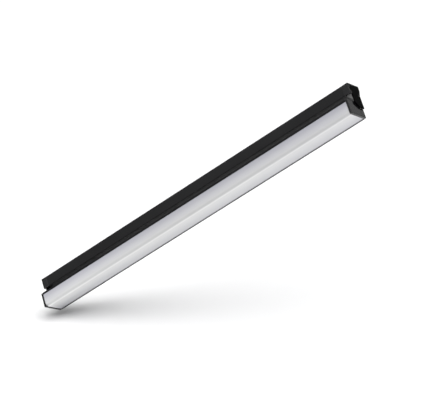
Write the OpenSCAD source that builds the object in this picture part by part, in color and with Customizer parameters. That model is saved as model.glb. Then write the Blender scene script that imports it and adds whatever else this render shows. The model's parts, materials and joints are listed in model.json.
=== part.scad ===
// Vanity light bar for the wall above a mirror: a slim black housing that holds the
// driver, and below it a lamp head with an opal L-shaped diffuser.  The head hangs
// between two side arms and tilts about an axis that runs along the bar.
// Frame: X along the bar, +Y into the wall, +Z up.  The origin is on the wall plane,
// at the middle of the wall bracket.  Millimetres.

/* [Bar] */
// Overall length, over the housing's end caps
bar_l = 600; // [480:10:900]
// Height of the housing
housing_h = 16.2; // [16:0.1:20]
// Depth of the housing
housing_d = 27.5; // [27:0.5:34]
// Gap between the housing's rear edges and the wall
wall_gap = 0.3; // [0.2:0.1:0.8]
// Wall thickness of the housing profile
housing_wall = 1.4; // [1.2:0.1:1.6]

/* [Lamp head] */
// Height of the lamp head
head_h = 22.7; // [22:0.1:26]
// Depth of the lamp head
head_d = 35.9; // [34:0.1:40]
// Gap between the housing's underside and the top of the head
head_gap = 11.6; // [10:0.1:14]
// How far the head stands in front of the housing
head_overhang = 12.7; // [10:0.1:14]
// Wall thickness of the head's profile
head_wall = 1.5; // [1.3:0.1:1.7]
// Thickness of the opal diffuser
diffuser_t = 2; // [1.6:0.1:2.2]
// Outer radius of the diffuser's front lower corner
diffuser_r = 6; // [4:0.5:8]
// Height of the black lip above the diffuser
lip_h = 3; // [2.5:0.1:3.5]

/* [Arms and pivot] */
// Thickness of a side arm
arm_t = 2.1; // [1.9:0.1:2.5]
// Clearance between an arm and the end of the head
side_gap = 0.3; // [0.3:0.05:0.5]
// Pivot axis below the top of the head
pivot_drop = 4.5; // [4.3:0.1:5]
// Pivot axis in front of the back of the head
pivot_setback = 6.9; // [6.6:0.1:8]
// Outer radius of the hollow trunnion
trunnion_r = 2.6; // [2.4:0.05:2.7]
// Bore radius of the hollow trunnion
trunnion_bore_r = 1.7; // [1.5:0.05:1.8]
// Tilt of the head with its front up, degrees
tilt_up = 25; // [15:1:28]
// Tilt of the head with its front down, degrees
tilt_down = 10; // [5:1:12]

/* [Fixing to the wall] */
// Distance between the two wall screw slots
slot_pitch = 460; // [300:10:700]
// Half the width of a slot
slot_r = 2.25; // [2:0.05:2.75]
// Length of a slot, end to end
slot_l = 12; // [8:1:16]
// Thickness of the wall bracket
bracket_t = 1.2; // [1:0.1:1.5]
// Radius of the cable hole in the bracket
cable_hole_r = 6; // [5:0.5:6]
// Radius of the way for the supply cable, through the rubber bush
cord_r = 3.6; // [3:0.1:4]

/* [Light source] */
// Width of the LED board
board_w = 12; // [10:0.5:13]
// Spacing of the LEDs
led_pitch = 12; // [8:1:20]

/* [Hidden] */

$fn = 48;
eps = 0.01;

// colours
black_metal = [0.11, 0.11, 0.12];
black_gloss = [0.07, 0.07, 0.08];
opal = [0.9, 0.9, 0.94];
steel = [0.7, 0.72, 0.74];
brass = [0.78, 0.64, 0.35];

// housing: front, rear, top, bottom
hy0 = -(wall_gap + housing_d);
hy1 = -wall_gap;
hz1 = housing_h / 2;
hz0 = -housing_h / 2;
// head: front, rear, top, bottom
ly0 = hy0 - head_overhang;
ly1 = ly0 + head_d;
lz1 = hz0 - head_gap;
lz0 = lz1 - head_h;
// pivot axis
py = ly1 - pivot_setback;
pz = lz1 - pivot_drop;
// stations along the bar, measured from its middle
end_x = bar_l / 2;
arm_x = end_x - arm_t;
head_x = arm_x - side_gap;
cap_skirt = 10;
profile_x = end_x - cap_skirt;
head_cap_t = 3;
gasket_t = 0.4;
gasket_inset = 0.35;
gasket_w = 2.2;
head_cap_x = head_x - head_cap_t;
head_profile_x = head_cap_x - gasket_t;

// end cap rim round an arm, and the seam between them
cap_rim = 1.4;
arm_seam = 0.35;
cap_chamfer_y = 3.9;
cap_chamfer_z = 9.2;
neck_y0 = hy0 + 4.6;
neck_y1 = hy0 + 19;
neck_drop = 3.2;
rear_rib = 0.9;
ear_y0 = hy0 + 13.5;
ear_drop = 8.7;

// screw ports of the two profiles
port_hole_r = 1.25;
port_r = 2.4;
clear_r = 1.65;
sink_r = 1.6;
sink_h = 1.1;
housing_port_y = hy0 + 3.7;
housing_port_z = hz1 - 3.7;
head_ports = [[ly0 + 6.1, lz1 - 3.6], [ly1 - 3.6, lz1 - 10.1]];

// sloping web that carries the LED board, in its own frame
web_leg = 13.9;
web_y = ly1 - head_wall - web_leg / 2;
web_z = lz1 - head_wall - web_leg / 2;
web_half = web_leg / sqrt(2);
board_t = 1;
board_l = 2 * head_profile_x - 12;
led_count = floor((board_l - 16) / led_pitch) + 1;

// stop pin in its arc, about the pivot axis
stop_orbit = 5.3;
stop_r = 0.8;
stop_slot_r = 0.95;
stop_angle = 170;
stop_slack = 0.8;

// trim panel on the end of the head
trim_t = 0.8;
trim_rim = 0.9;
trim_seam = 0.2;
boss_r = 2.75;
ring_r = 4;
ring_seat_r = 4.05;
ring_depth = 1.1;

// driver, terminal block and screws on the bracket
bracket_l = bar_l - 60;
bracket_z = 6.4;
tab_x = 190;
tab_w = 24;
tab_d = 9;
tab_screw_y = -bracket_t - 5;
driver_x0 = -10;
driver_x1 = 160;
driver_d = 20;
driver_z = 6;
driver_wall = 1.2;
ear_l = 8;
ear_t = 2.2;
ear_hole_r = 1.25;
terminal_x = -78;
terminal_l = 20;
entry_x = -115;
earth_x = -142;
earth_hole_r = 2;
front_of_bracket = -bracket_t;

// ---- helpers ----

// draws its children at the right end, then mirrored at the left
module both_ends() {
    children();
    mirror([1, 0, 0]) children();
}

// a solid between two stations along X from a flat outline whose x, y are the bar's Y, Z
module along_x(x0, x1) {
    translate([x0, 0, 0]) rotate([90, 0, 90]) linear_extrude(x1 - x0) children();
}

// a straight cylinder along X
module rod_x(x0, x1, r, y = 0, z = 0) {
    translate([x0, y, z]) rotate([0, 90, 0]) cylinder(r = r, h = x1 - x0);
}

// a cylinder along Y
module rod_y(y0, y1, r, x = 0, z = 0) {
    translate([x, y0, z]) rotate([-90, 0, 0]) cylinder(r = r, h = y1 - y0);
}

// a box given by its two corners
module block(a, b) {
    translate(a) cube(b - a);
}

// a round lead swept along its points with flat-sided rings
lead_sides = 8;
function unit(v) = v / norm(v);
function along(p, i) =
    unit(i == 0 ? p[1] - p[0] : i == len(p) - 1 ? p[i] - p[i - 1]
        : unit(p[i + 1] - p[i]) + unit(p[i] - p[i - 1]));
lead_up = [0.21, 0.33, 0.92];
module lead(p, r) {
    n = lead_sides;
    rings = [for (i = [0:len(p) - 1])
        let (t = along(p, i), u = unit(cross(t, lead_up)), v = cross(t, u))
            for (k = [0:n - 1]) p[i] + r * (cos(360 * k / n) * u + sin(360 * k / n) * v)];
    sides = [for (i = [0:len(p) - 2]) for (k = [0:n - 1])
        [i * n + k, (i + 1) * n + k, (i + 1) * n + (k + 1) % n, i * n + (k + 1) % n]];
    ends = [[for (k = [0:n - 1]) k],
        [for (k = [n - 1:-1:0]) (len(p) - 1) * n + k]];
    polyhedron(points = rings, faces = concat(sides, ends), convexity = 4);
}

// a smooth bend: points from a to c past corner b
function bend(a, b, c, steps = 5) =
    [for (i = [0:steps]) let (t = i / steps) (1 - t) * (1 - t) * a + 2 * t * (1 - t) * b + t * t * c];

// a rectangle from corner a to corner b with rounded corners
module round_rect(a, b, r) {
    hull() for (y = [a.x + r, b.x - r], z = [a.y + r, b.y - r])
        translate([y, z]) circle(r, $fn = 32);
}

// ---- wall bracket and what it carries ----

module wall_bracket() {
    color(steel) difference() {
        union() {
            block([-bracket_l / 2, -bracket_t, -bracket_z], [bracket_l / 2, 0, bracket_z]);
            for (x = [-tab_x, tab_x], s = [-1, 1])
                block([x - tab_w / 2, -bracket_t - tab_d, s > 0 ? bracket_z - bracket_t : -bracket_z],
                      [x + tab_w / 2, -bracket_t + eps, s > 0 ? bracket_z : bracket_t - bracket_z]);
        }
        for (x = [-slot_pitch / 2, slot_pitch / 2]) {
            for (s = [-1, 1])
                rod_y(-bracket_t - 1, 1, slot_r, x + s * (slot_l / 2 - slot_r));
            block([x - slot_l / 2 + slot_r, -bracket_t - 1, -slot_r],
                  [x + slot_l / 2 - slot_r, 1, slot_r]);
        }
        rod_y(-bracket_t - 1, 1, cable_hole_r, entry_x);
        rod_y(-bracket_t - 1, 1, earth_hole_r, earth_x);
        for (x = [driver_x0 - ear_l / 2, driver_x1 + ear_l / 2])
            rod_y(-bracket_t - 1, 1, ear_hole_r, x);
        for (x = [-tab_x, tab_x])
            translate([x, tab_screw_y, -bracket_z - 1]) cylinder(r = 1.3, h = 4);
    }
}

// rubber bush that lines the cable hole, waisted round the edge of the plate
module cable_grommet() {
    flange_r = cable_hole_r + 0.35;
    color([0.09, 0.09, 0.09]) translate([entry_x, 0, 0]) rotate([90, 0, 0])
        rotate_extrude() polygon([
            [cord_r, 0], [cable_hole_r, 0], [cable_hole_r, bracket_t], [flange_r, bracket_t],
            [flange_r, bracket_t + 0.8], [cable_hole_r - 0.6, bracket_t + 1.8],
            [cord_r, bracket_t + 1.8]]);
}

module earth_screw() {
    color(brass) {
        rod_y(front_of_bracket - 1.8, 0, earth_hole_r - 0.05, earth_x);
        difference() {
            rod_y(front_of_bracket - 4, front_of_bracket - 1.8, 3.6, earth_x);
            block([earth_x - 4, front_of_bracket - 5, -0.5], [earth_x + 4, front_of_bracket - 3, 0.5]);
        }
        difference() {
            rod_y(front_of_bracket - 0.8, front_of_bracket, 4, earth_x);
            rod_y(front_of_bracket - 1, front_of_bracket + 1, earth_hole_r - 0.05, earth_x);
        }
    }
}

terminal_pole = 6.5;
terminal_d = 20.3;
terminal_z = 5.5;
pole_y = [for (i = [0:2]) front_of_bracket - 4.3 - i * terminal_pole];
terminal_screw_dx = 5.5;
// three poles side by side, wire ways along X, screws from below
module terminal_block() {
    half = terminal_l / 2;
    color([0.86, 0.86, 0.82]) difference() {
        block([terminal_x - half, front_of_bracket - terminal_d, -terminal_z],
              [terminal_x + half, front_of_bracket, terminal_z]);
        for (y = pole_y, s = [-1, 1]) {
            rod_x(terminal_x + s * half - 4.5, terminal_x + s * half + 4.5, 1.6, y);
            translate([terminal_x + s * terminal_screw_dx, y, -6]) cylinder(r = 2, h = 5);
        }
        for (i = [0, 1])
            block([terminal_x - half - 1, pole_y[i] - terminal_pole / 2 - 0.5, -6],
                  [terminal_x + half + 1, pole_y[i] - terminal_pole / 2 + 0.5, -3]);
    }
}

module terminal_screws() {
    color(brass) for (y = pole_y, s = [-1, 1]) translate([terminal_x + s * terminal_screw_dx, y, 0])
        difference() {
            translate([0, 0, -4.8]) cylinder(r = 1.9, h = 3.6);
            block([-3, -0.4, -5], [3, 0.4, -4.2]);
        }
}

// where the supply leads enter the driver
supply_way_y = [front_of_bracket - 9.5, front_of_bracket - 15];
// open box of the driver, with a fixing ear at each end
module driver_case() {
    y1 = front_of_bracket;
    y0 = y1 - driver_d + driver_wall;
    color([0.9, 0.9, 0.9]) difference() {
        union() {
            block([driver_x0, y0, -driver_z], [driver_x1, y1, driver_z]);
            block([driver_x0 - ear_l, y1 - ear_t, -4], [driver_x1 + ear_l, y1, 4]);
        }
        block([driver_x0 + driver_wall, y0 - 1, -driver_z + driver_wall],
              [driver_x1 - driver_wall, y1 - ear_t, driver_z - driver_wall]);
        for (x = [driver_x0 - ear_l / 2, driver_x1 + ear_l / 2])
            rod_y(y1 - 3, y1 + 1, 1.6, x);
        for (y = supply_way_y) rod_x(driver_x0 - 1, driver_x0 + 3, 1.3, y);
        rod_x(driver_x1 - 3, driver_x1 + 1, 1.5, y1 - 12, 0);
    }
}

module driver_lid() {
    y1 = front_of_bracket - driver_d;
    inner = driver_wall + 0.15;
    color([0.93, 0.93, 0.93]) {
        block([driver_x0, y1, -driver_z], [driver_x1, y1 + driver_wall, driver_z]);
        for (s = [-1, 1]) block(
            [driver_x0 + 4, y1 + driver_wall - eps, s > 0 ? driver_z - inner - 0.8 : -driver_z + inner],
            [driver_x1 - 4, y1 + driver_wall + 2, s > 0 ? driver_z - inner : -driver_z + inner + 0.8]);
    }
}

board_y = front_of_bracket - 5.2;
board_face_y = board_y - 1.6;
module driver_board() {
    color([0.1, 0.35, 0.2]) block([driver_x0 + 2.2, board_face_y, -4.5], [driver_x1 - 2.2, board_y, 4.5]);
}

// ferrite core with its winding
module driver_transformer() {
    x = driver_x0 + 92;
    y1 = board_face_y;
    color([0.2, 0.2, 0.2]) {
        for (s = [-1, 1])
            block([x + s * 7.5 - 1.5, y1 - 9.2, -4.4], [x + s * 7.5 + 1.5, y1, 4.4]);
        block([x - 7, y1 - 9.2, -3.4], [x + 7, y1 - 7.4, 3.4]);
        block([x - 7, y1 - 1.8, -3.4], [x + 7, y1, 3.4]);
        rod_x(x - 7, x + 7, 2.7, y1 - 4.6, 0);
    }
}

// two electrolytic capacitors and a film capacitor
module driver_capacitors() {
    y1 = board_face_y;
    color([0.15, 0.2, 0.35]) {
        rod_x(driver_x0 + 50, driver_x0 + 68, 4.4, y1 - 4.4, 0);
        rod_x(driver_x0 + 122, driver_x0 + 138, 4, y1 - 4, 0);
        block([driver_x0 + 20, y1 - 8, -3.6], [driver_x0 + 32, y1, 3.6]);
    }
}

module driver_screws() {
    y1 = front_of_bracket - ear_t;
    color(steel) for (x = [driver_x0 - ear_l / 2, driver_x1 + ear_l / 2])
        difference() {
            union() {
                rod_y(y1 - 1, 0, ear_hole_r - 0.05, x);
                rod_y(y1 - 1.8, y1, 2.7, x);
            }
            block([x - 0.4, y1 - 2, -2], [x + 0.4, y1 - 0.9, 2]);
            block([x - 2, y1 - 2, -0.4], [x + 2, y1 - 0.9, 0.4]);
        }
}

// leads from the terminals to the end of the driver
supply_r = 1.1;
module supply_lead(y0, y1) {
    x0 = terminal_x + terminal_l / 2 - 4;
    lead(concat([[x0, y0, 0], [x0 + 10, y0, 0]],
        bend([x0 + 18, y0, 0], [x0 + 26, y0, 0], [x0 + 32, (y0 + y1) / 2, 0], 4),
        bend([x0 + 34, (y0 + y1) / 2, 0], [x0 + 40, y1, 0], [x0 + 48, y1, 0], 4),
        [[driver_x0 + 3, y1, 0]]), supply_r);
}
module live_lead() {
    color([0.45, 0.25, 0.12]) supply_lead(pole_y[2], supply_way_y[1]);
}
module neutral_lead() {
    color([0.15, 0.3, 0.65]) supply_lead(pole_y[1], supply_way_y[0]);
}
// ring end under the earth screw, lead past the cable hole to the rear terminal
module earth_lead() {
    x1 = terminal_x - terminal_l / 2;
    y0 = front_of_bracket - 1.3;
    side = 4.6;
    color([0.35, 0.6, 0.2]) {
        difference() {
            union() {
                rod_y(front_of_bracket - 1.7, front_of_bracket - 0.9, 3.5, earth_x);
                block([earth_x, front_of_bracket - 1.7, -1.4], [earth_x + 6.5, front_of_bracket - 0.9, 1.4]);
            }
            rod_y(front_of_bracket - 2, front_of_bracket, earth_hole_r + 0.05, earth_x);
        }
        lead(concat([[earth_x + 4.4, y0, 0]],
            bend([earth_x + 7, y0, 0], [earth_x + 11, y0, 0], [earth_x + 15, y0 - 1.5, side / 2], 4),
            bend([earth_x + 17, y0 - 2, side / 2 + 0.8], [earth_x + 21, y0 - 3, side],
                [earth_x + 27, y0 - 3, side], 4),
            bend([x1 - 18, y0 - 3, side], [x1 - 12, y0 - 3, side], [x1 - 9, pole_y[0], side / 2], 4),
            bend([x1 - 8, pole_y[0], side / 2 - 0.8], [x1 - 5, pole_y[0], 0], [x1 - 1, pole_y[0], 0], 4),
            [[x1 + 4, pole_y[0], 0]]), 0.95);
    }
}

// low-voltage lead from the driver to the hole in the right end cap
output_r = 1.2;
lead_hole_y = py;
lead_hole_z = -1;
module output_lead() {
    y1 = front_of_bracket - 12;
    color([0.85, 0.85, 0.85])
        lead(concat(
            [[driver_x1 - 4, y1, 0], [driver_x1 + 12, y1, 0]],
            bend([driver_x1 + 30, y1, 0], [driver_x1 + 60, y1 - 2, -4], [driver_x1 + 80, y1 - 1, -4]),
            bend([profile_x - 30, y1 - 1, -4], [profile_x - 12, lead_hole_y, lead_hole_z],
                 [profile_x - 4, lead_hole_y, lead_hole_z]),
            [[arm_x - 0.6, lead_hole_y, lead_hole_z]]), output_r);
}

// ---- housing ----

// open-backed channel with two screw ports in its front corners
module housing_section() {
    w = housing_wall;
    difference() {
        union() {
            difference() {
                hull() {
                    for (z = [hz0 + 0.8, hz1 - 0.8]) translate([hy0 + 0.8, z]) circle(0.8, $fn = 32);
                    translate([hy1 - 0.5, hz0]) square([0.5, housing_h]);
                }
                translate([hy0 + w, hz0 + w]) square([housing_d, housing_h - 2 * w]);
            }
            for (s = [-1, 1]) translate([housing_port_y, s * housing_port_z]) circle(port_r);
        }
        for (s = [-1, 1]) translate([housing_port_y, s * housing_port_z]) circle(port_hole_r);
    }
}
module housing_profile() {
    color(black_metal) difference() {
        along_x(-profile_x, profile_x) housing_section();
        for (x = [-tab_x, tab_x])
            translate([x, tab_screw_y, hz0 - 1]) cylinder(r = clear_r, h = housing_wall + 2);
    }
}

// outline of an end cap: the housing's, with its lower rear corner cut back
module cap_outline(inset = 0) {
    offset(delta = -inset) polygon([
        [hy0, hz1], [hy1, hz1], [hy1, hz0 + cap_chamfer_z], [hy1 - cap_chamfer_y, hz0], [hy0, hz0]]);
}
module housing_end_cap() {
    w = housing_wall + 0.1;
    color(black_gloss) difference() {
        union() {
            // outer skirt, its long edges eased
            along_x(profile_x, end_x) offset(r = 0.6, $fn = 24) offset(delta = -0.6) cap_outline();
            // spigot inside the profile
            along_x(profile_x - 6, profile_x + eps)
                translate([hy0 + w, hz0 + w]) square([housing_d - w - 2.5, housing_h - 2 * w]);
        }
        // pocket for the arm, open below
        along_x(arm_x, end_x + 1) intersection() {
            cap_outline(cap_rim);
            translate([hy0, hz0 + cap_rim - eps]) square([housing_d, housing_h]);
        }
        along_x(arm_x, end_x + 1) translate([neck_y0 - arm_seam, hz0 - 1])
            square([neck_y1 - neck_y0 + 2 * arm_seam, cap_rim + 1 + 2 * eps]);
        // hollow inside
        along_x(profile_x - 7, arm_x - 2.2)
            translate([housing_port_y + port_r + 0.8, hz0 + 2.8])
                square([housing_d - 12.5, housing_h - 5.6]);
        // relief round the ports, then the screw holes
        for (s = [-1, 1]) {
            rod_x(profile_x - 7, profile_x + 0.2, port_r + 0.2, housing_port_y, s * housing_port_z);
            rod_x(profile_x - 1, end_x, clear_r, housing_port_y, s * housing_port_z);
        }
        rod_x(profile_x, end_x, output_r + 0.3, lead_hole_y, lead_hole_z);
    }
}
module housing_end_cap_right() { housing_end_cap(); }
module housing_end_cap_left() { mirror([1, 0, 0]) housing_end_cap(); }

// screws from below that lock the housing to the bracket's tabs
module housing_screws() {
    color(black_metal) for (x = [-tab_x, tab_x]) translate([x, tab_screw_y, 0])
        difference() {
            union() {
                translate([0, 0, hz0]) cylinder(r = 1.25, h = 4.6);
                translate([0, 0, hz0 - 1.4]) cylinder(r = 2.6, h = 1.4);
            }
            translate([0, 0, hz0 - 2]) cylinder(r = 1.1, h = 1.5, $fn = 6);
        }
}

// ---- side arms ----

// plate in the cap's pocket, neck across the gap, and the ear that carries the head
module arm_outline() {
    ear_z = lz1 - ear_drop;
    top = hz0 - 0.2;
    slot_z = lz1 + 5.2;
    cap_outline(cap_rim + arm_seam);
    offset(r = 0.3, $fn = 24) offset(delta = -0.3) polygon([
        [neck_y0, top], [neck_y1, top], [neck_y1, slot_z], [ly1 - rear_rib, slot_z],
        [ly1 - rear_rib, top], [ly1, top], [ly1, ear_z], [ear_y0, ear_z],
        [neck_y0, lz1 - neck_drop]]);
    translate([neck_y0, hz0 - 1]) square([neck_y1 - neck_y0, 4]);
}
arm_screw_y = housing_port_y;
arm_screw_z = housing_port_z;
module side_arm(with_lead) {
    channel_w = 3.4;
    channel_d = 1.2;
    color(black_metal) difference() {
        along_x(arm_x, end_x) arm_outline();
        // countersunk holes over the screw ports
        for (s = [-1, 1]) {
            rod_x(arm_x - 1, end_x + 1, sink_r, arm_screw_y, s * arm_screw_z);
            translate([end_x - sink_h + eps, arm_screw_y, s * arm_screw_z]) rotate([0, 90, 0])
                cylinder(r1 = sink_r, r2 = 2.05, h = sink_h);
        }
        // blind bearing for the trunnion
        rod_x(arm_x - 1, end_x - 0.5, trunnion_r + 0.05, py, pz);
        // hole that holds the stop pin
        rod_x(arm_x - 1, arm_x + 1.2, stop_r, py + stop_orbit * cos(stop_angle),
            pz + stop_orbit * sin(stop_angle));
        if (with_lead) {
            block([arm_x - 1, py - channel_w / 2, pz],
                  [arm_x + channel_d, py + channel_w / 2, lead_hole_z + channel_w / 2]);
            // step for the cover strip
            block([arm_x - 1, py - channel_w / 2 - 0.6, lz1 + 1],
                  [arm_x + 0.4, py + channel_w / 2 + 0.6, hz0 - 0.6]);
        }
    }
}
module side_arm_right() { side_arm(true); }
module side_arm_left() { mirror([1, 0, 0]) side_arm(false); }

// countersunk screws through the arms and caps into the housing's ports
module arm_screws() {
    color(black_metal) both_ends() for (s = [-1, 1])
        difference() {
            union() {
                rod_x(end_x - 18, end_x - 1.3, port_hole_r - 0.03, arm_screw_y, s * arm_screw_z);
                translate([end_x - 1.35, arm_screw_y, s * arm_screw_z]) rotate([0, 90, 0])
                    cylinder(r1 = 1.22, r2 = 1.85, h = 1.25);
            }
            translate([end_x - 0.9, arm_screw_y, s * arm_screw_z]) rotate([0, 90, 0])
                cylinder(r = 1, h = 1, $fn = 6);
        }
}

module stop_pins() {
    color(steel) both_ends()
        rod_x(arm_x - 1.3, arm_x + 1.1, stop_r - 0.01, py + stop_orbit * cos(stop_angle),
            pz + stop_orbit * sin(stop_angle));
}

// pair of fine cores down the right arm, from the cap's hole to the pivot
core_r = 0.35;
core_gap = 0.5;
core_x = arm_x + 0.78;
module arm_lead() {
    color([0.2, 0.2, 0.22]) for (s = [-1, 1]) let (y = py + s * core_gap)
        lead(concat([[arm_x - 0.6, y, lead_hole_z]],
            bend([arm_x - 0.2, y, lead_hole_z], [core_x, y, lead_hole_z], [core_x, y, lead_hole_z - 1.2], 4),
            bend([core_x, y, pz + 1.2], [core_x, y, pz], [arm_x - 0.2, y, pz], 4),
            [[arm_x - 0.6, y, pz]]), core_r);
}
module arm_lead_cover() {
    color(black_metal) block([arm_x + 0.02, py - 2.2, lz1 + 1.05], [arm_x + 0.4, py + 2.2, hz0 - 0.65]);
}

// ---- lamp head ----

// places its children in the web's frame: local Y runs down the slope, local -Z faces
// the front lower corner of the diffuser
module on_web() {
    translate([0, web_y, web_z]) rotate([-45, 0, 0]) children();
}

module head_section() {
    w = head_wall;
    groove = diffuser_t + 0.5;
    lip_t = 1;
    difference() {
        union() {
            translate([ly0, lz1 - w]) square([head_d, w]);
            translate([ly1 - w, lz0]) square([w, head_h]);
            // lip and rib that grip the diffuser's upper edge
            translate([ly0, lz1 - lip_h]) square([lip_t, lip_h]);
            translate([ly0 + lip_t + groove, lz1 - w - 1.8]) square([lip_t, 1.8 + eps]);
            // toe and rib that grip its rear edge
            translate([ly1 - w - 0.5, lz0]) square([0.5 + eps, 0.8]);
            translate([ly1 - w - 2.6, lz0 + 2.5]) square([2.6 + eps, 1]);
            // sloping web
            translate([web_y, web_z]) rotate(-45) translate([-web_half - 0.6, -w])
                square([2 * web_half + 1.2, w]);
            for (p = head_ports) translate(p) circle(port_r);
        }
        for (p = head_ports) translate(p) circle(port_hole_r);
        // trims the ends of the web flush with the walls
        translate([ly0 - 5, lz1]) square([head_d + 10, 5]);
        translate([ly1, lz0 - 5]) square([5, head_h + 10]);
    }
}
board_screw_x = [-240, -84, 84, 240];
board_screw_y = 4.3;
module head_profile() {
    color(black_metal) difference() {
        along_x(-head_profile_x, head_profile_x) head_section();
        for (x = board_screw_x) on_web() translate([x, board_screw_y, -3]) cylinder(r = 1, h = 4);
        // notch that lets the lead through the web
        on_web() block([head_profile_x - 9, -3, -3], [head_profile_x + 1, 0, 2]);
    }
}

// L-shaped opal section: rounded corner, tongue under the lip, tongue over the toe
module diffuser_section() {
    y0 = ly0 + 0.25;
    z0 = lz0 + 0.2;
    t = diffuser_t;
    ri = diffuser_r - t;
    lip_z = lz1 - lip_h - 0.1;
    toe_y = ly1 - head_wall - 0.7;
    translate([y0, z0 + diffuser_r]) square([t, lip_z - z0 - diffuser_r]);
    translate([y0 + diffuser_r, z0]) square([toe_y - y0 - diffuser_r, t]);
    intersection() {
        difference() {
            translate([y0 + diffuser_r, z0 + diffuser_r]) circle(diffuser_r);
            translate([y0 + diffuser_r, z0 + diffuser_r]) circle(ri);
        }
        translate([y0, z0]) square(diffuser_r + eps);
    }
    translate([ly0 + 1.15, lip_z - eps]) square([t - 0.4, 1.25]);
    translate([toe_y - eps, z0 + 0.8]) square([0.55, t - 0.8]);
}
module diffuser() {
    color(opal) along_x(-head_profile_x, head_profile_x) diffuser_section();
}

module head_outline(inset = 0) {
    translate([ly0 + inset, lz0 + inset]) square([head_d - 2 * inset, head_h - 2 * inset]);
}
// soft outline of the end cap: its corners barely rounded
module cap_face() {
    round_rect([ly0, lz0], [ly1, lz1], 1);
}
// arc that the stop pin runs in, cut through whatever it is given
module stop_arc(x0, x1) {
    reach = asin(stop_r / stop_orbit) + stop_slack;
    a0 = stop_angle - tilt_down - reach;
    a1 = stop_angle + tilt_up + reach;
    translate([x0, py, pz]) rotate([90, 0, 90]) rotate([0, 0, a0]) rotate_extrude(angle = a1 - a0)
        translate([stop_orbit - stop_slot_r, 0]) square([2 * stop_slot_r, x1 - x0]);
}
module head_end_cap() {
    color(black_gloss) difference() {
        union() {
            along_x(head_cap_x, head_x) cap_face();
            // boss that carries the trunnion inside the profile
            rod_x(head_cap_x - 2.4, head_cap_x + eps, boss_r, py, pz);
        }
        // shallow tray for the trim panel
        along_x(head_x - trim_t, head_x + 1) head_outline(trim_rim);
        // seat of the friction ring, bore of the trunnion
        rod_x(head_x - ring_depth, head_x + 1, ring_seat_r, py, pz);
        rod_x(head_cap_x - 6, head_x + 1, trunnion_r - 0.4, py, pz);
        rod_x(head_cap_x, head_x + 1, trunnion_r + 0.01, py, pz);
        stop_arc(head_x - 1.4, head_x + 1);
        for (p = head_ports) {
            rod_x(head_cap_x - 1, head_x + 1, sink_r, p.x, p.y);
            translate([head_x - trim_t - sink_h + eps, p.x, p.y]) rotate([0, 90, 0])
                cylinder(r1 = sink_r, r2 = 2.3, h = sink_h);
        }
    }
}
module head_end_cap_right() { head_end_cap(); }
module head_end_cap_left() { mirror([1, 0, 0]) head_end_cap(); }

// glossy panel that hides the cap's screws, with a groove near its rear edge
module head_trim() {
    groove_y = hy0 + 15.6;
    color(black_gloss) difference() {
        along_x(head_x - trim_t, head_x) head_outline(trim_rim + trim_seam);
        rod_x(head_x - 2, head_x + 1, ring_seat_r, py, pz);
        stop_arc(head_x - 2, head_x + 1);
        block([head_x - 0.4, groove_y - 0.25, lz0 - 1], [head_x + 1, groove_y + 0.25, lz1 + 1]);
    }
}
module head_trim_right() { head_trim(); }
module head_trim_left() { mirror([1, 0, 0]) head_trim(); }

// silicone seal between the cap and the ends of the profile and diffuser
module head_gasket() {
    color([0.3, 0.3, 0.32]) along_x(head_profile_x, head_cap_x) difference() {
        head_outline(gasket_inset);
        head_outline(gasket_inset + gasket_w);
        for (p = head_ports) translate(p) circle(clear_r);
        translate([py, pz]) circle(boss_r + 0.1);
    }
}
module head_gasket_right() { head_gasket(); }
module head_gasket_left() { mirror([1, 0, 0]) head_gasket(); }

module head_cap_screws() {
    face = head_x - trim_t;
    color(steel) both_ends() for (p = head_ports)
        difference() {
            union() {
                rod_x(face - 13, face - 1.3, port_hole_r - 0.03, p.x, p.y);
                translate([face - 1.35, p.x, p.y]) rotate([0, 90, 0])
                    cylinder(r1 = 1.22, r2 = 2.15, h = 1.25);
            }
            translate([face - 0.9, p.x, p.y]) rotate([0, 90, 0]) cylinder(r = 1, h = 1, $fn = 6);
        }
}

// hollow pivot pressed into the head's end cap and running in the arm
module trunnion() {
    color(brass) difference() {
        rod_x(head_cap_x, end_x - 0.6, trunnion_r, py, pz);
        rod_x(head_cap_x - 1, end_x, trunnion_bore_r, py, pz);
        // upper half cut away inside the arm, where the cores turn into the bore
        block([arm_x - 0.1, py - 4, pz + 0.5], [end_x, py + 4, pz + 4]);
    }
}
module trunnion_right() { trunnion(); }
module trunnion_left() { mirror([1, 0, 0]) trunnion(); }

module friction_rings() {
    color([0.92, 0.9, 0.84]) both_ends() difference() {
        rod_x(head_x - ring_depth, arm_x - 0.1, ring_r, py, pz);
        rod_x(head_x - 2, arm_x, trunnion_r + 0.05, py, pz);
    }
}

// ---- light source ----

module led_board() {
    color([0.94, 0.94, 0.92]) difference() {
        on_web() block([-board_l / 2, -board_w / 2, -head_wall - board_t],
                       [board_l / 2, board_w / 2, -head_wall]);
        for (x = board_screw_x) on_web() translate([x, board_screw_y, -4]) cylinder(r = 1.1, h = 4);
    }
}
module leds() {
    color([0.95, 0.85, 0.4]) on_web() for (i = [0:led_count - 1])
        translate([(i - (led_count - 1) / 2) * led_pitch, 0, -head_wall - board_t - 0.4])
            cube([3.5, 2.8, 0.8], center = true);
}
module board_screws() {
    top = -head_wall - board_t;
    color(steel) for (x = board_screw_x) on_web() translate([x, board_screw_y, 0])
        difference() {
            union() {
                translate([0, 0, top]) cylinder(r = 0.95, h = head_wall + board_t + 1);
                translate([0, 0, top - 0.9]) cylinder(r = 1.6, h = 0.9);
            }
            translate([0, 0, top - 1]) cylinder(r = 0.7, h = 0.6, $fn = 6);
        }
}
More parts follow.
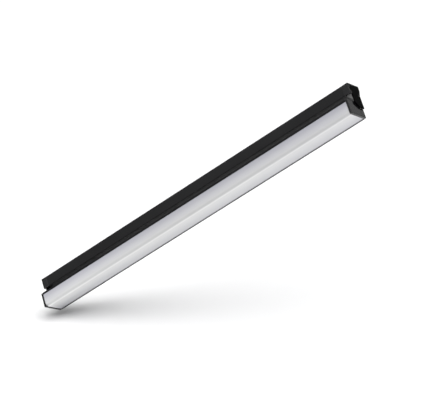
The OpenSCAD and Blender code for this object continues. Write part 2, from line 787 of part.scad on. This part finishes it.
// pair of cores from the trunnion, through the notch in the web, to the end of the board
module led_lead() {
    x0 = arm_x - 0.95;
    x1 = head_profile_x - 4.5;
    rise = web_rise(py, pz);
    face = -head_wall - board_t - core_r;
    color([0.8, 0.25, 0.2]) for (s = [-1, 1])
        let (v = web_run(py, pz) + s * core_gap,
             a = on_web_point(v, rise), c = on_web_point(v, face))
            lead(concat([[x0, a.x, a.y]],
                bend([x1 + 2.5, a.x, a.y], [x1, a.x, a.y],
                    concat([x1], on_web_point(v, rise - 2.5)), 4),
                bend(concat([x1], on_web_point(v, face + 2.2)), [x1, c.x, c.y], [x1 - 2.2, c.x, c.y], 4),
                [[x1 - 5, c.x, c.y]]), core_r);
}
// a point given in the web's frame, as the bar's Y and Z
function on_web_point(v, n) = [web_y + (v + n) / sqrt(2), web_z + (n - v) / sqrt(2)];
// how far along the web, and above it, a point of the bar's Y and Z lies
function web_run(y, z) = ((y - web_y) - (z - web_z)) / sqrt(2);
function web_rise(y, z) = ((y - web_y) + (z - web_z)) / sqrt(2);

wall_bracket();
cable_grommet();
earth_screw();
terminal_block();
terminal_screws();
driver_case();
driver_lid();
driver_board();
driver_transformer();
driver_capacitors();
driver_screws();
live_lead();
neutral_lead();
earth_lead();
output_lead();
housing_profile();
housing_end_cap_left();
housing_end_cap_right();
housing_screws();
side_arm_left();
side_arm_right();
arm_screws();
stop_pins();
arm_lead();
arm_lead_cover();
head_profile();
diffuser();
head_end_cap_left();
head_end_cap_right();
head_trim_left();
head_trim_right();
head_gasket_left();
head_gasket_right();
head_cap_screws();
trunnion_left();
trunnion_right();
friction_rings();
led_board();
leds();
board_screws();
led_lead();
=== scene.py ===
"""Vanity light bar: black housing and tilting lamp head with an opal L-shaped diffuser."""
import json
import math

import bmesh
import bpy
from mathutils import Matrix, Vector

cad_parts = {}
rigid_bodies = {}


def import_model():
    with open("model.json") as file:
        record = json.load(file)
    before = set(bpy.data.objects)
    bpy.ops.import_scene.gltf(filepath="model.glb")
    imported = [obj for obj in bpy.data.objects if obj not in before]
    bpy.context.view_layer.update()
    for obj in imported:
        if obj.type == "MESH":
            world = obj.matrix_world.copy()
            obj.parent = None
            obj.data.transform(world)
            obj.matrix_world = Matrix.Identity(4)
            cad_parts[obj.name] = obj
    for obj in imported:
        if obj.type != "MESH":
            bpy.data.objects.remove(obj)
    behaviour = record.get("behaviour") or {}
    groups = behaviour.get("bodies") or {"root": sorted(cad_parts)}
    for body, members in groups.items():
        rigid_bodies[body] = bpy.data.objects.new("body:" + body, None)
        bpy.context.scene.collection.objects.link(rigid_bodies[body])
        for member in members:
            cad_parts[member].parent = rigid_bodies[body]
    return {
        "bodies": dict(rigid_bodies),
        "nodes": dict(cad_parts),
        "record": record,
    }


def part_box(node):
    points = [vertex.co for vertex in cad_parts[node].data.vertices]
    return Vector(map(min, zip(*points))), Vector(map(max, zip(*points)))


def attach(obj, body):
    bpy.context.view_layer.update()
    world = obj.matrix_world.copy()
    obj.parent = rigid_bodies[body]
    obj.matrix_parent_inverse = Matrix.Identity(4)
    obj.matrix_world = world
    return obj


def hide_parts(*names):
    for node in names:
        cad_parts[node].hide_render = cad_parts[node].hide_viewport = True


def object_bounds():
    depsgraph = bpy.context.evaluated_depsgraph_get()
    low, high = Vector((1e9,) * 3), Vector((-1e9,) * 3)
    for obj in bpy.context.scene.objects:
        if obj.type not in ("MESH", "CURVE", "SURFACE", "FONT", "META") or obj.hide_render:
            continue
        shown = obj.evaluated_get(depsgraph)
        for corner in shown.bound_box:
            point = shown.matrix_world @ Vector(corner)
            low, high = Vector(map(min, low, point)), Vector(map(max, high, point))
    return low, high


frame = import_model()
cad_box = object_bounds()
NODES = frame["nodes"]
HEAD = "head"
HOUSING = "housing"
DIFFUSER_T = 0.002
DIFFUSER_R = 0.006


# ---------------------------------------------------------------- shader helpers

def shade(tone, factor):
    """The tone made darker or lighter by a factor, never past white."""
    return tuple(min(1, c * factor) for c in tone)


class Mat:
    """One procedural material: a Principled shader and short helpers for what drives it."""

    def __init__(self, name, rough=0.5, metallic=0.0, specular=0.5, coat=0.0, coat_rough=0.05):
        self.m = bpy.data.materials.new(name)
        self.m.use_nodes = True
        self.t = self.m.node_tree
        self.b = self.t.nodes["Principled BSDF"]
        self.b.inputs["Roughness"].default_value = rough
        self.b.inputs["Metallic"].default_value = metallic
        self.b.inputs["Specular IOR Level"].default_value = specular
        self.b.inputs["Coat Weight"].default_value = coat
        self.b.inputs["Coat Roughness"].default_value = coat_rough
        self.coords = self.t.nodes.new("ShaderNodeTexCoord").outputs["Object"]
        self.bump_from = None

    def node(self, kind, **values):
        n = self.t.nodes.new(kind)
        for key, value in values.items():
            if key in n.inputs:
                n.inputs[key].default_value = value
            else:
                setattr(n, key, value)
        return n

    def link(self, a, b):
        self.t.links.new(a, b)

    def place(self, scale=(1, 1, 1)):
        """Object coordinates in metres, stretched per axis."""
        n = self.node("ShaderNodeMapping")
        n.inputs["Scale"].default_value = scale
        self.link(self.coords, n.inputs["Vector"])
        return n.outputs["Vector"]

    def noise(self, scale, detail=3.0, stretch=(1, 1, 1), rough=0.55):
        n = self.node("ShaderNodeTexNoise", Scale=scale, Detail=detail, Roughness=rough)
        self.link(self.place(stretch), n.inputs["Vector"])
        return n.outputs["Fac"]

    def cells(self, scale, stretch=(1, 1, 1)):
        n = self.node("ShaderNodeTexVoronoi", Scale=scale)
        self.link(self.place(stretch), n.inputs["Vector"])
        return n.outputs["Color"]

    def ramp(self, fac, stops, smooth=True):
        n = self.node("ShaderNodeValToRGB")
        n.color_ramp.interpolation = "EASE" if smooth else "LINEAR"
        e = n.color_ramp.elements
        while len(e) < len(stops):
            e.new(0.5)
        for k, (at, c) in enumerate(stops):
            e[k].position = at
            e[k].color = (*c, 1) if isinstance(c, (tuple, list)) else (c, c, c, 1)
        self.link(fac, n.inputs["Fac"])
        return n.outputs["Color"]

    def mix(self, fac, a, b, how="MIX"):
        n = self.node("ShaderNodeMix", data_type="RGBA", blend_type=how)
        for slot, v in ((0, fac), (6, a), (7, b)):
            if isinstance(v, bpy.types.NodeSocket):
                self.link(v, n.inputs[slot])
            elif slot:
                n.inputs[slot].default_value = (*v, 1)
            else:
                n.inputs[slot].default_value = v
        return n.outputs[2]

    def span(self, value, low, high, to_low=0.0, to_high=1.0):
        n = self.node("ShaderNodeMapRange")
        for k, v in enumerate((value, low, high, to_low, to_high)):
            if isinstance(v, bpy.types.NodeSocket):
                self.link(v, n.inputs[k])
            else:
                n.inputs[k].default_value = v
        return n.outputs["Result"]

    def axis(self, which):
        n = self.node("ShaderNodeSeparateXYZ")
        self.link(self.coords, n.inputs["Vector"])
        return n.outputs[which]

    def math(self, op, a, b=0.0, c=0.0):
        n = self.node("ShaderNodeMath", operation=op)
        for k, v in enumerate((a, b, c)):
            if isinstance(v, bpy.types.NodeSocket):
                self.link(v, n.inputs[k])
            else:
                n.inputs[k].default_value = v
        return n.outputs[0]

    def colour(self, out):
        self.link(out, self.b.inputs["Base Color"])

    def rough(self, out):
        self.link(out, self.b.inputs["Roughness"])

    def bump(self, height, distance, strength=1.0):
        n = self.node("ShaderNodeBump", Strength=strength, Distance=distance)
        self.link(height, n.inputs["Height"])
        if self.bump_from is not None:
            self.link(self.bump_from, n.inputs["Normal"])
        self.bump_from = n.outputs["Normal"]
        self.link(self.bump_from, self.b.inputs["Normal"])


def powder_coat(name, tone, rough, specular, grain=9000.0):
    """Fine-grained powder coat: orange peel, a little dust in it, slight uneven tone."""
    m = Mat(name, specular=specular)
    patches = m.noise(22, 4, (0.35, 1, 1))
    fleck = m.noise(5200, 2)
    base = m.ramp(patches, [(0.3, shade(tone, 0.82)), (0.7, shade(tone, 1.2))])
    m.colour(m.mix(m.span(fleck, 0.66, 0.8, 0, 0.35), base,
                   tuple(min(1, c * 2.6 + 0.01) for c in tone)))
    m.rough(m.span(m.noise(260, 3), 0.25, 0.75, rough - 0.05, rough + 0.06))
    m.bump(m.noise(grain, 2), 0.000035, 0.5)
    m.bump(m.noise(900, 2), 0.00006, 0.35)
    return m.m


def gloss_moulding(name, tone, rough, specular=0.5, coat=0.0):
    """Gloss moulded plastic: faint flow waviness, hairline scratches in one direction."""
    m = Mat(name, specular=specular, coat=coat, coat_rough=0.06)
    m.colour(m.ramp(m.noise(60, 3), [(0.3, shade(tone, 0.9)), (0.7, shade(tone, 1.12))]))
    hair = m.noise(1500, 2, (1, 0.06, 1))
    m.rough(m.span(hair, 0.35, 0.72, rough - 0.03, rough + 0.07))
    m.bump(m.noise(45, 2), 0.0002, 0.12)
    m.bump(hair, 0.000006, 0.3)
    return m.m


def plated(name, tone, rough, lines=(0.02, 1, 1), spangle=320.0):
    """Zinc-plated or rolled metal: rolling lines, cloudy plating, small crystals."""
    m = Mat(name, metallic=1.0)
    cloud = m.ramp(m.noise(38, 5), [(0.25, shade(tone, 0.8)), (0.75, tone)])
    m.colour(m.mix(0.12, cloud, m.cells(spangle), "OVERLAY"))
    rolled = m.noise(2600, 3, lines)
    m.rough(m.span(rolled, 0.3, 0.7, rough - 0.08, rough + 0.12))
    m.bump(rolled, 0.00002, 0.5)
    return m.m


def turned_brass(name):
    """Brass with fine turning rings round its own axis along X, and slight tarnish."""
    m = Mat(name, metallic=1.0)
    tarnish = m.noise(420, 4)
    m.colour(m.ramp(tarnish, [(0.3, (0.42, 0.27, 0.10)), (0.55, (0.72, 0.53, 0.24)),
                              (0.8, (0.80, 0.62, 0.31))]))
    rings = m.noise(5200, 2, (1, 0.04, 0.04))
    m.rough(m.span(rings, 0.3, 0.7, 0.2, 0.38))
    m.bump(rings, 0.00001, 0.5)
    return m.m


def soft_polymer(name, tone, rough, speckle=0.06, grain=2400.0):
    """Moulded nylon, polycarbonate, rubber or silicone with a spark-eroded grain."""
    m = Mat(name, specular=0.4)
    m.colour(m.ramp(m.noise(700, 4), [(0.3, shade(tone, 1 - speckle)),
                                      (0.7, shade(tone, 1 + speckle))]))
    m.rough(m.span(m.noise(150, 3), 0.3, 0.7, rough - 0.06, rough + 0.06))
    m.bump(m.noise(grain, 2), 0.00003, 0.4)
    return m.m


def insulation(name, tone, stripe=None):
    """PVC wire covering: slight shine, extrusion streaks, with a spiral stripe if asked."""
    m = Mat(name, specular=0.45)
    streak = m.noise(1900, 2, (0.05, 1, 1))
    plain = m.ramp(streak, [(0.3, shade(tone, 0.85)), (0.7, tone)])
    if stripe:
        turn = m.node("ShaderNodeTexWave", Scale=62.0, wave_type="BANDS",
                      bands_direction="DIAGONAL")
        m.link(m.coords, turn.inputs["Vector"])
        plain = m.mix(m.span(turn.outputs["Fac"], 0.55, 0.6), plain, stripe)
    m.colour(plain)
    m.rough(m.span(streak, 0.3, 0.7, 0.32, 0.45))
    m.bump(streak, 0.00002, 0.3)
    return m.m


def circuit(name, mask, track, pitch):
    """Solder mask over etched tracks, with bare pads showing through."""
    m = Mat(name, rough=0.3, specular=0.5)
    brick = m.node("ShaderNodeTexBrick", Scale=1.0)
    brick.inputs["Color1"].default_value = (*mask, 1)
    brick.inputs["Color2"].default_value = (*shade(mask, 0.82), 1)
    brick.inputs["Mortar"].default_value = (*track, 1)
    brick.inputs["Mortar Size"].default_value = 0.0003
    brick.inputs["Brick Width"].default_value = pitch
    brick.inputs["Row Height"].default_value = pitch * 0.45
    m.link(m.coords, brick.inputs["Vector"])
    m.colour(m.mix(m.span(m.noise(500, 3), 0.3, 0.75, 0, 0.18), brick.outputs["Color"],
                   (0.5, 0.5, 0.48)))
    m.rough(m.span(m.noise(900, 2), 0.3, 0.7, 0.25, 0.42))
    m.bump(brick.outputs["Fac"], 0.00004, 0.4)
    return m.m


def banded(name, tone, band, at, width):
    """A shrink sleeve with one paler band along its length."""
    m = Mat(name, rough=0.35, specular=0.5)
    z = m.axis("Z")
    mark = m.math("LESS_THAN", m.math("ABSOLUTE", m.math("SUBTRACT", z, at)), width)
    base = m.ramp(m.noise(300, 3), [(0.3, shade(tone, 0.85)), (0.7, tone)])
    m.colour(m.mix(mark, base, band))
    m.rough(m.span(m.noise(700, 2), 0.3, 0.7, 0.28, 0.42))
    m.bump(m.noise(260, 3), 0.00005, 0.3)
    return m.m


def opal_acrylic_painted_light():
    """Opal acrylic, unlit, with light and shade painted in: a painted highlight line at the lower
    corner, painted shade, dimmer and bluer, towards lip and toe.
    """
    m = Mat("opal_acrylic_painted_light", rough=0.3, specular=0.42)
    low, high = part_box("diffuser")
    depth = high[1] - low[1]
    down = m.span(m.axis("Z"), low[2] + DIFFUSER_R * 2 / 3, high[2], 0, 1)
    back = m.span(m.axis("Y"), low[1], high[1], 0, 1)
    along = m.span(m.axis("X"), low[0], high[0], 0, 1)
    # Painted shade on the front face: darker and bluer from the lower corner up to the lip under
    # the housing.
    face = m.ramp(down, [(0.0, (0.60, 0.60, 0.60)), (0.16, (0.54, 0.54, 0.555)),
                         (0.85, (0.405, 0.405, 0.44)), (1.0, (0.26, 0.26, 0.30))])
    # Painted highlight along the rounded corner, with a painted dark line just before it, then
    # painted shade darker towards the toe.
    painted_dark_line_at, painted_highlight_at, painted_highlight_end_at = (k * DIFFUSER_R / depth for k in (0.3, 5 / 6, 1.25))
    under = m.ramp(back, [(0.0, (0.74, 0.74, 0.74)), (painted_dark_line_at, (0.70, 0.70, 0.70)),
                          (painted_highlight_at, (1.0, 1.0, 0.99)), (painted_highlight_end_at, (0.88, 0.88, 0.88)),
                          (0.85, (0.70, 0.70, 0.725)), (1.0, (0.26, 0.26, 0.285))])
    # Painted light along the bar: brighter towards the -X end, lifting the shade near the floor at
    # that end.
    length = m.ramp(along, [(0.0, (1.0, 1.0, 1.0)), (0.5, (0.89, 0.89, 0.89)),
                            (1.0, (0.84, 0.84, 0.85))])
    gain = 1.512
    tone = m.mix(1.0, m.mix(1.0, face, under, "MULTIPLY"), (gain, gain, gain), "MULTIPLY")
    tone = m.mix(1.0, tone, length, "MULTIPLY")
    cloud = m.ramp(m.noise(30, 3, (0.3, 1, 1)), [(0.3, (0.988, 0.988, 0.99)), (0.7, (1, 1, 1))])
    m.colour(m.mix(1.0, tone, cloud, "MULTIPLY"))
    m.bump(m.noise(900, 2), 0.000004, 0.2)
    return m.m


MATERIALS = {
    "housing_black": powder_coat("coat_housing", (0.0085, 0.0085, 0.009), 0.5, 0.28),
    # The arm coat is far darker than the housing coat: painted shade for the end faces.
    "arm_black": powder_coat("coat_arm_painted_shade", (0.0015, 0.0015, 0.0016), 0.5, 0.02),
    "head_black": powder_coat("coat_head", (0.006, 0.006, 0.0065), 0.45, 0.25),
    # The cap moulding is twice as light as the head coat: painted light for the lit end faces.
    "cap_black": gloss_moulding("gloss_cap_painted_light", (0.012, 0.012, 0.0125), 0.2, 0.5),
    "trim_black": gloss_moulding("gloss_trim", (0.005, 0.005, 0.0055), 0.13, 0.55, coat=0.3),
    "opal_diffuser": opal_acrylic_painted_light(),
    "bracket_steel": plated("zinc_sheet", (0.60, 0.62, 0.65), 0.36),
    "screw_steel": plated("zinc_screw", (0.58, 0.60, 0.62), 0.32, (0.2, 0.2, 1), 900.0),
    "screw_black": powder_coat("oxide_screw", (0.006, 0.006, 0.006), 0.35, 0.4, 14000.0),
    "pivot_brass": turned_brass("brass_pivot"),
    "terminal_brass": turned_brass("brass_terminal"),
    "bush_rubber": soft_polymer("rubber_bush", (0.014, 0.014, 0.014), 0.7, 0.2),
    "seal_silicone": soft_polymer("silicone_seal", (0.045, 0.045, 0.05), 0.55, 0.12),
    "ring_nylon": soft_polymer("nylon_ring", (0.72, 0.68, 0.58), 0.42),
    "terminal_plastic": soft_polymer("polyamide_terminal", (0.70, 0.69, 0.63), 0.45),
    "driver_plastic": soft_polymer("polycarbonate_case", (0.78, 0.78, 0.77), 0.4),
    "circuit_board": circuit("driver_circuit", (0.012, 0.10, 0.04), (0.03, 0.24, 0.09), 0.0042),
    "ferrite": soft_polymer("ferrite_core", (0.045, 0.045, 0.05), 0.6, 0.3, 1600.0),
    "capacitor_sleeve": banded("sleeve", (0.02, 0.04, 0.13), (0.55, 0.58, 0.62), 0.0026, 0.0009),
    "lead_brown": insulation("pvc_brown", (0.11, 0.035, 0.012)),
    "lead_blue": insulation("pvc_blue", (0.015, 0.07, 0.36)),
    "lead_green": insulation("pvc_earth", (0.03, 0.22, 0.03), (0.72, 0.56, 0.02)),
    "lead_white": insulation("pvc_white", (0.72, 0.72, 0.71)),
    "lead_grey": insulation("pvc_grey", (0.035, 0.035, 0.04)),
    "lead_red": insulation("pvc_red", (0.42, 0.02, 0.015)),
    "light_board": circuit("light_circuit", (0.80, 0.80, 0.78), (0.62, 0.60, 0.55), 0.0060),
    "led_package": soft_polymer("phosphor", (0.80, 0.60, 0.16), 0.35, 0.15, 5200.0),
}

slot_of = {p["node"]: p["material_slot"] for p in frame["record"]["subparts"]}


def dress(ob, material_slot):
    ob.data.materials.clear()
    ob.data.materials.append(MATERIALS[material_slot])


for name, ob in NODES.items():
    dress(ob, slot_of[name])


# ---------------------------------------------------------------- pieces

def body_of_node(name):
    return HEAD if NODES[name].parent == frame["bodies"][HEAD] else HOUSING


def link(ob):
    bpy.context.scene.collection.objects.link(ob)
    return ob


def smooth_by_angle(me, degrees):
    """Smooth shading with every edge sharper than the angle kept sharp."""
    me.shade_smooth()
    bm = bmesh.new()
    bm.from_mesh(me)
    for e in bm.edges:
        e.smooth = e.calc_face_angle(math.pi) < math.radians(degrees)
    bm.to_mesh(me)
    bm.free()


def eased(node, width, segments=2, angle=34):
    """A copy of a CAD node with its edges broken by a small round, as a coat leaves them."""
    me = NODES[node].data.copy()
    bm = bmesh.new()
    bm.from_mesh(me)
    bmesh.ops.remove_doubles(bm, verts=bm.verts, dist=2e-6)
    bmesh.ops.dissolve_limit(bm, angle_limit=math.radians(0.5), verts=bm.verts, edges=bm.edges)
    bm.to_mesh(me)
    bm.free()
    for a in [a.name for a in me.attributes
              if a.name in ("custom_normal", "sharp_face", "sharp_edge")]:
        me.attributes.remove(me.attributes[a])
    ob = link(bpy.data.objects.new(node + "_eased", me))
    me.shade_smooth()
    bevel = ob.modifiers.new("ease", "BEVEL")
    bevel.width = width
    bevel.segments = segments
    bevel.limit_method = "ANGLE"
    bevel.angle_limit = math.radians(angle)
    bevel.use_clamp_overlap = False
    bevel.harden_normals = True
    dress(ob, slot_of[node])
    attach(ob, body_of_node(node))
    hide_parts(node)
    return ob


def extruded(name, outline, x0, x1, ease=0.0002):
    """A closed outline of (y, z) points run along X, with its two end edges eased."""
    bm = bmesh.new()
    rings = []
    for x in (x0, x1):
        rings.append([bm.verts.new((x, y, z)) for y, z in outline])
    n = len(outline)
    for k in range(n):
        bm.faces.new((rings[0][k], rings[1][k], rings[1][(k + 1) % n], rings[0][(k + 1) % n]))
    ends = [bm.faces.new(list(reversed(rings[0]))), bm.faces.new(rings[1])]
    bmesh.ops.recalc_face_normals(bm, faces=bm.faces)
    edges = [e for f in ends for e in f.edges]
    bmesh.ops.bevel(bm, geom=edges, offset=ease, segments=2, affect="EDGES", clamp_overlap=True)
    me = bpy.data.meshes.new(name)
    bm.to_mesh(me)
    bm.free()
    smooth_by_angle(me, 28)
    return link(bpy.data.objects.new(name, me))


def arc(cy, cz, r, a0, a1, steps):
    return [(cy + r * math.cos(math.radians(a0 + (a1 - a0) * k / steps)),
             cz + r * math.sin(math.radians(a0 + (a1 - a0) * k / steps))) for k in range(steps + 1)]


def opal_cover():
    """The diffuser: front face, rounded lower corner, underside, a tongue along each long edge."""
    low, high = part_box("diffuser")
    y0, z0, y1, z1 = low[1], low[2], high[1], high[2]
    t = DIFFUSER_T
    r = DIFFUSER_R
    s = 0.0003
    lip = z1 - 0.00125
    toe = y1 - 0.00054
    tongue = y0 + 0.0009
    outline = (
        arc(y0 + r, z0 + r, r, 180, 270, 28)
        + arc(toe - s, z0 + s, s, 270, 360, 4)
        + [(toe, z0 + 0.0008), (y1, z0 + 0.0008), (y1, z0 + t), (toe, z0 + t)]
        + arc(y0 + r, z0 + r, r - t, 270, 180, 20)
        + [(y0 + t, lip), (y0 + 0.0025, lip), (y0 + 0.0025, z1), (tongue, z1), (tongue, lip)]
        + arc(y0 + s, lip - s, s, 90, 180, 4))
    ob = extruded("opal_cover", outline, low[0], high[0])
    dress(ob, "opal_diffuser")
    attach(ob, HEAD)
    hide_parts("diffuser")


def led_lenses():
    """A shallow phosphor dome on each LED package."""
    bm = bmesh.new()
    low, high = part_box("leds")
    pitch = 0.012
    count = int(round((high[0] - low[0] - 0.0035) / pitch)) + 1
    mid = Vector((0, (low[1] + high[1]) / 2, (low[2] + high[2]) / 2))
    out = Vector((0, -1, -1)).normalized()
    turn = out.to_track_quat("Z", "X").to_matrix().to_4x4()
    for k in range(count):
        at = mid + out * 0.00035 + Vector(((k - (count - 1) / 2) * pitch, 0, 0))
        dome = Matrix.Translation(at) @ turn @ Matrix.Diagonal((1, 1, 0.38, 1))
        bmesh.ops.create_uvsphere(bm, u_segments=14, v_segments=8, radius=0.0012, matrix=dome)
    me = bpy.data.meshes.new("led_domes")
    bm.to_mesh(me)
    bm.free()
    me.shade_smooth()
    ob = link(bpy.data.objects.new("led_domes", me))
    dress(ob, "led_package")
    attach(ob, HEAD)


opal_cover()
led_lenses()
for node, width in (
        ("housing_profile", 0.00018), ("head_profile", 0.00018),
        ("housing_end_cap_left", 0.00022), ("housing_end_cap_right", 0.00022),
        ("side_arm_left", 0.00022), ("side_arm_right", 0.00022),
        ("head_end_cap_left", 0.0002), ("head_end_cap_right", 0.0002),
        ("head_trim_left", 0.00005), ("head_trim_right", 0.00005),
        ("wall_bracket", 0.00015)):
    eased(node, width)


# ---------------------------------------------------------------- studio

def camera():
    """The photograph's view: from the right, in front and below, rolled, with a long lens."""
    data = bpy.data.cameras.new("camera")
    cam = link(bpy.data.objects.new("camera", data))
    right = Vector((0.74004475, 0.61248758, -0.27783582))
    down = Vector((-0.46749415, 0.1714741, -0.86720577))
    away = Vector((-0.48351111, 0.7716577, 0.41323287))
    turn = Matrix((right, -down, -away)).transposed().to_4x4()
    cam.matrix_world = Matrix.Translation((1.2805, -2.0100, -1.1034)) @ turn
    data.sensor_fit = "HORIZONTAL"
    data.sensor_width = 36
    data.lens = 1808.195 * 36 / 430
    data.clip_start = 0.05
    data.clip_end = 60
    bpy.context.scene.camera = cam
    return right, -down, -away


def softbox(name, toward, distance, size, power, aim=(0, -0.02, -0.02)):
    """A rectangular area light, placed in a direction from the bar and aimed at it."""
    data = bpy.data.lights.new(name, "AREA")
    data.shape = "RECTANGLE"
    data.size, data.size_y = size
    data.energy = power
    ob = link(bpy.data.objects.new(name, data))
    d = Vector(toward).normalized()
    ob.location = Vector(aim) + d * distance
    ob.rotation_euler = d.to_track_quat("Z", "Y").to_euler()
    ob.visible_camera = False
    return ob


def skylight(name, toward, strength, degrees):
    """A very soft even light from one direction, as from a wide overhead scrim."""
    data = bpy.data.lights.new(name, "SUN")
    data.energy = strength
    data.angle = math.radians(degrees)
    ob = link(bpy.data.objects.new(name, data))
    ob.rotation_euler = Vector(toward).to_track_quat("Z", "Y").to_euler()
    return ob


def studio_world(seen, front, rear, toward):
    """White where the camera looks past the object; as light, brighter in front than behind."""
    w = bpy.data.worlds.new("studio")
    w.use_nodes = True
    t = w.node_tree
    bg = t.nodes["Background"]
    plain = t.nodes.new("ShaderNodeBackground")
    plain.inputs["Color"].default_value = (1, 1, 1, 1)
    plain.inputs["Strength"].default_value = seen
    bg.inputs["Color"].default_value = (0.97, 0.98, 1, 1)
    coords = t.nodes.new("ShaderNodeTexCoord")
    facing = t.nodes.new("ShaderNodeVectorMath")
    facing.operation = "DOT_PRODUCT"
    facing.inputs[1].default_value = Vector(toward).normalized()
    t.links.new(coords.outputs["Generated"], facing.inputs[0])
    amount = t.nodes.new("ShaderNodeMapRange")
    for slot, value in (("From Min", -0.6), ("From Max", 0.8), ("To Min", rear), ("To Max", front)):
        amount.inputs[slot].default_value = value
    t.links.new(facing.outputs["Value"], amount.inputs["Value"])
    t.links.new(amount.outputs["Result"], bg.inputs["Strength"])
    ray = t.nodes.new("ShaderNodeLightPath")
    mix = t.nodes.new("ShaderNodeMixShader")
    t.links.new(ray.outputs["Is Camera Ray"], mix.inputs[0])
    t.links.new(bg.outputs[0], mix.inputs[1])
    t.links.new(plain.outputs[0], mix.inputs[2])
    t.links.new(mix.outputs[0], t.nodes["World Output"].inputs["Surface"])
    bpy.context.scene.world = w


def floor(up, right, height):
    """A pale sweep under the lower end of the bar. It shows its upper side only."""
    toward = right.cross(up).normalized()
    across = up.cross(toward)
    size = 9.0
    bm = bmesh.new()
    corners = [up * height + across * a * size + toward * b * size
               for a, b in ((-1, -1), (1, -1), (1, 1), (-1, 1))]
    bm.faces.new([bm.verts.new(c) for c in corners])
    bm.normal_update()
    if bm.faces[:][0].normal.dot(up) < 0:
        bmesh.ops.reverse_faces(bm, faces=bm.faces[:])
    me = bpy.data.meshes.new("floor")
    bm.to_mesh(me)
    bm.free()
    ob = link(bpy.data.objects.new("floor", me))
    m = Mat("pale_sweep", rough=0.9, specular=0.1)
    m.colour(m.ramp(m.noise(2.5, 2), [(0.2, (0.85, 0.85, 0.85)), (0.8, (0.87, 0.87, 0.87))]))
    side = m.node("ShaderNodeNewGeometry")
    clear = m.node("ShaderNodeBsdfTransparent")
    mix = m.node("ShaderNodeMixShader")
    m.link(side.outputs["Backfacing"], mix.inputs[0])
    m.link(m.b.outputs[0], mix.inputs[1])
    m.link(clear.outputs[0], mix.inputs[2])
    m.link(mix.outputs[0], m.t.nodes["Material Output"].inputs["Surface"])
    me.materials.append(m.m)
    return ob


right, up, back = camera()
view = bpy.context.scene.view_settings
view.view_transform = "Standard"
view.look = "None"

floor_up = (up + back * 0.32 - right * 0.165).normalized()
corners = [Vector((x, y, z)) for x in (cad_box[0][0], cad_box[1][0])
           for y in (cad_box[0][1], cad_box[1][1]) for z in (cad_box[0][2], cad_box[1][2])]
floor(floor_up, right, min(c.dot(floor_up) for c in corners) - 0.0015)
studio_world(1.0, 0.40, 0.06, back - right * 0.6)
skylight("overhead_scrim", up + back * 0.44, 3.25, 76)
softbox("front_box", back * 1.0 + up * 0.45 - right * 0.5, 2.6, (2.0, 1.0), 9)
softbox("end_card", right * 0.71 + up * 0.45 - back * 0.53, 1.6, (0.6, 0.6), 0.38,
        (0.3, -0.02, -0.03))
